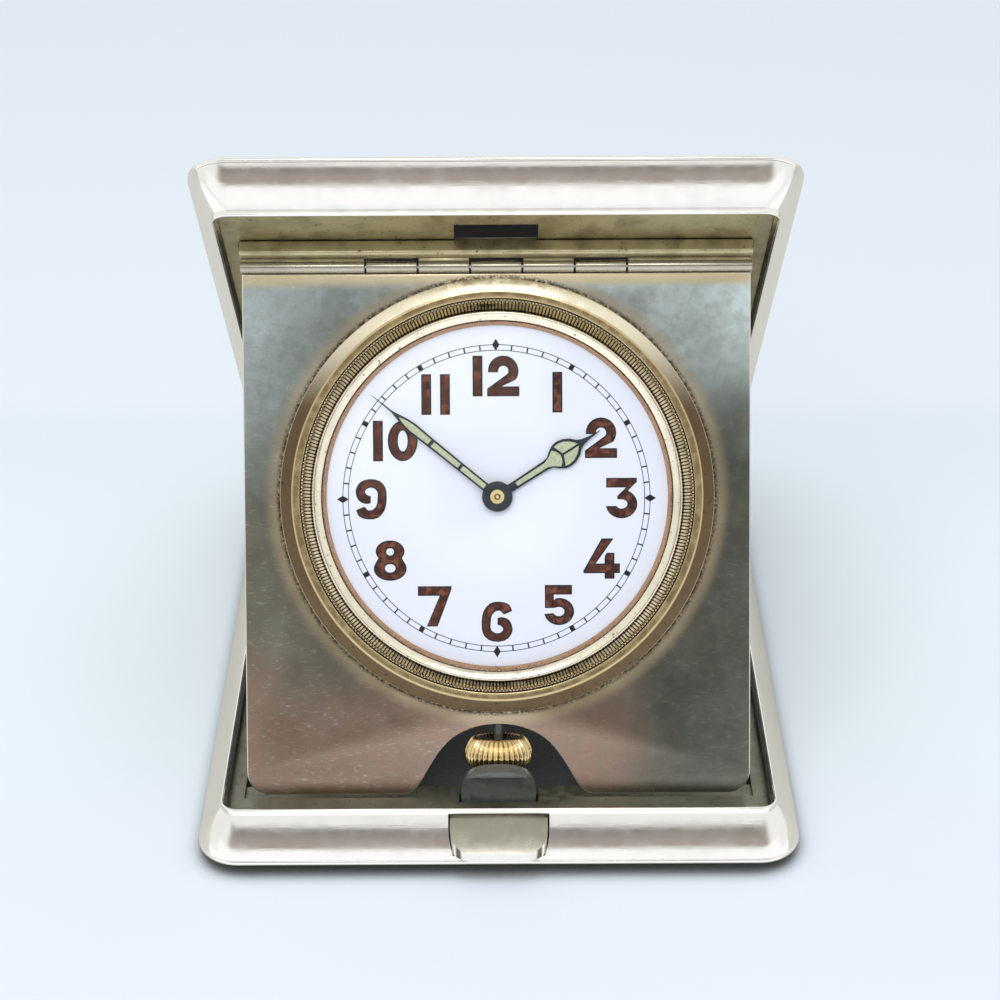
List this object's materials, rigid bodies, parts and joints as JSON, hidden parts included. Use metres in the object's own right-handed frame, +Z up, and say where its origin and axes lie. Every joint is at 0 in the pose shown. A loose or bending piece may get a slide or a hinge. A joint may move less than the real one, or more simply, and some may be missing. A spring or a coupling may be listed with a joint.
{
  "type": "folding travel clock",
  "caption": "Folding silver travel clock: two hinged case halves stand as an easel with a round white dial plate between them, a latch button in front and a fluted winding crown.",
  "frame": {"origin": "middle of the lower case half's flat underside", "axes": "+Z up, the front with the latch button at -Y, +X to the right of someone who faces the dial"},
  "size_m": [0.074, 0.0906, 0.0782],
  "materials": {
    "polished_silver": "polished silver with fine scratches",
    "toned_silver": "fine-brushed silver plate, toned grey and gold",
    "gilt": "worn olive gilding, satin",
    "polished_gilt": "polished gilding",
    "brass": "fine-grained brass",
    "steel": "polished steel",
    "blued_steel": "dark blued steel",
    "black_steel": "black, semi-gloss",
    "white_enamel": "smooth white with brown-red figures",
    "clear_glass": "clear, polished",
    "dark_velvet": "short dark pile"
  },
  "bodies": {
    "base": {"lower_shell": "polished_silver", "base_lining": "dark_velvet", "latch_rail": "gilt", "case_hinge_lower_leaf": "polished_silver", "case_hinge_pin": "steel", "button_spring": "steel"},
    "latch": {"push_button": "polished_silver", "latch_catch": "black_steel", "catch_rivet_left": "steel", "catch_rivet_right": "steel"},
    "lid": {"upper_shell": "polished_silver", "lid_liner": "gilt", "case_hinge_upper_leaf": "polished_silver", "plate_hinge_bar": "gilt", "plate_hinge_pin": "steel"},
    "clock": {"dial_plate": "toned_silver", "plate_hinge_leaf": "polished_silver", "bezel_seat": "polished_gilt", "reeded_bezel": "polished_gilt", "rehaut_ring": "polished_gilt", "crystal": "clear_glass", "dial": "white_enamel", "movement_case": "gilt", "back_cover": "gilt", "pendant_tube": "gilt", "main_plate": "brass", "mainspring_barrel": "brass", "centre_wheel": "brass", "third_wheel": "brass", "fourth_wheel": "brass", "escape_wheel": "steel", "hairspring": "blued_steel", "barrel_bridge": "brass", "train_bridge": "brass", "balance_cock": "brass", "barrel_bridge_screw_1": "blued_steel", "barrel_bridge_screw_2": "blued_steel", "train_bridge_screw_1": "blued_steel", "train_bridge_screw_2": "blued_steel", "balance_cock_screw": "blued_steel", "crown_wheel_screw": "blued_steel", "click": "steel"},
    "minute_arbor": {"cannon_pinion": "brass", "minute_hand": "blued_steel"},
    "minute_gear": {"minute_wheel": "brass"},
    "hour_pipe": {"hour_wheel": "brass", "hour_hand": "blued_steel"},
    "winder": {"crown": "polished_gilt", "winding_stem": "steel", "winding_pinion": "steel"},
    "crown_gear": {"crown_wheel": "steel"},
    "ratchet": {"ratchet_wheel": "steel"},
    "balance": {"balance_wheel": "brass"},
    "fork": {"pallet_fork": "steel"}
  },
  "joints": [
    {"name": "case_hinge", "type": "hinge", "parent": "base", "child": "lid", "pos_m": [0, 0.0417, 0.0078], "axis": [-1, 0, 0], "range_deg": [0, 66]},
    {"name": "plate_hinge", "type": "hinge", "parent": "lid", "child": "clock", "pos_m": [0, -0.0025, 0.06274], "axis": [-1, 0, 0], "range_deg": [-66, 0]},
    {"name": "button_press", "type": "slide", "parent": "base", "child": "latch", "axis": [0, 1, 0], "range_m": [0, 0.0007], "stiffness_N_per_m": 400, "springref_m": -0.0005},
    {"name": "minute_turn", "type": "hinge", "parent": "clock", "child": "minute_arbor", "pos_m": [0, -0.01589, 0.03798], "axis": [0, 0.8796, -0.4756], "continuous": true},
    {"name": "minute_gear_turn", "type": "hinge", "parent": "clock", "child": "minute_gear", "pos_m": [0.00477, -0.01766, 0.0347], "axis": [0, 0.8796, -0.4756], "continuous": true},
    {"name": "hour_turn", "type": "hinge", "parent": "clock", "child": "hour_pipe", "pos_m": [0, -0.01589, 0.03798], "axis": [0, 0.8796, -0.4756], "continuous": true},
    {"name": "crown_turn", "type": "hinge", "parent": "clock", "child": "winder", "pos_m": [0, -0.01387, 0.03689], "axis": [0, -0.4756, -0.8796], "continuous": true},
    {"name": "crown_gear_turn", "type": "hinge", "parent": "clock", "child": "crown_gear", "pos_m": [0, -0.02294, 0.02495], "axis": [0, -0.8796, 0.4756], "continuous": true},
    {"name": "ratchet_turn", "type": "hinge", "parent": "clock", "child": "ratchet", "pos_m": [-0.00517, -0.0194, 0.03149], "axis": [0, -0.8796, 0.4756], "continuous": true},
    {"name": "balance_swing", "type": "hinge", "parent": "clock", "child": "balance", "pos_m": [-0.01126, -0.0128, 0.0437], "axis": [0, -0.8796, 0.4756], "range_deg": [-135, 135]},
    {"name": "fork_rock", "type": "hinge", "parent": "clock", "child": "fork", "pos_m": [-0.00529, -0.0123, 0.04463], "axis": [0, -0.8796, 0.4756], "range_deg": [-4, 4]}
  ],
  "couplings": [
    {"joint": "plate_hinge", "follows": "case_hinge", "ratio": -1},
    {"joint": "minute_gear_turn", "follows": "minute_turn", "ratio": -0.33333},
    {"joint": "hour_turn", "follows": "minute_turn", "ratio": 0.083333},
    {"joint": "crown_gear_turn", "follows": "crown_turn", "ratio": 0.5},
    {"joint": "ratchet_turn", "follows": "crown_turn", "ratio": -0.33333}
  ]
}
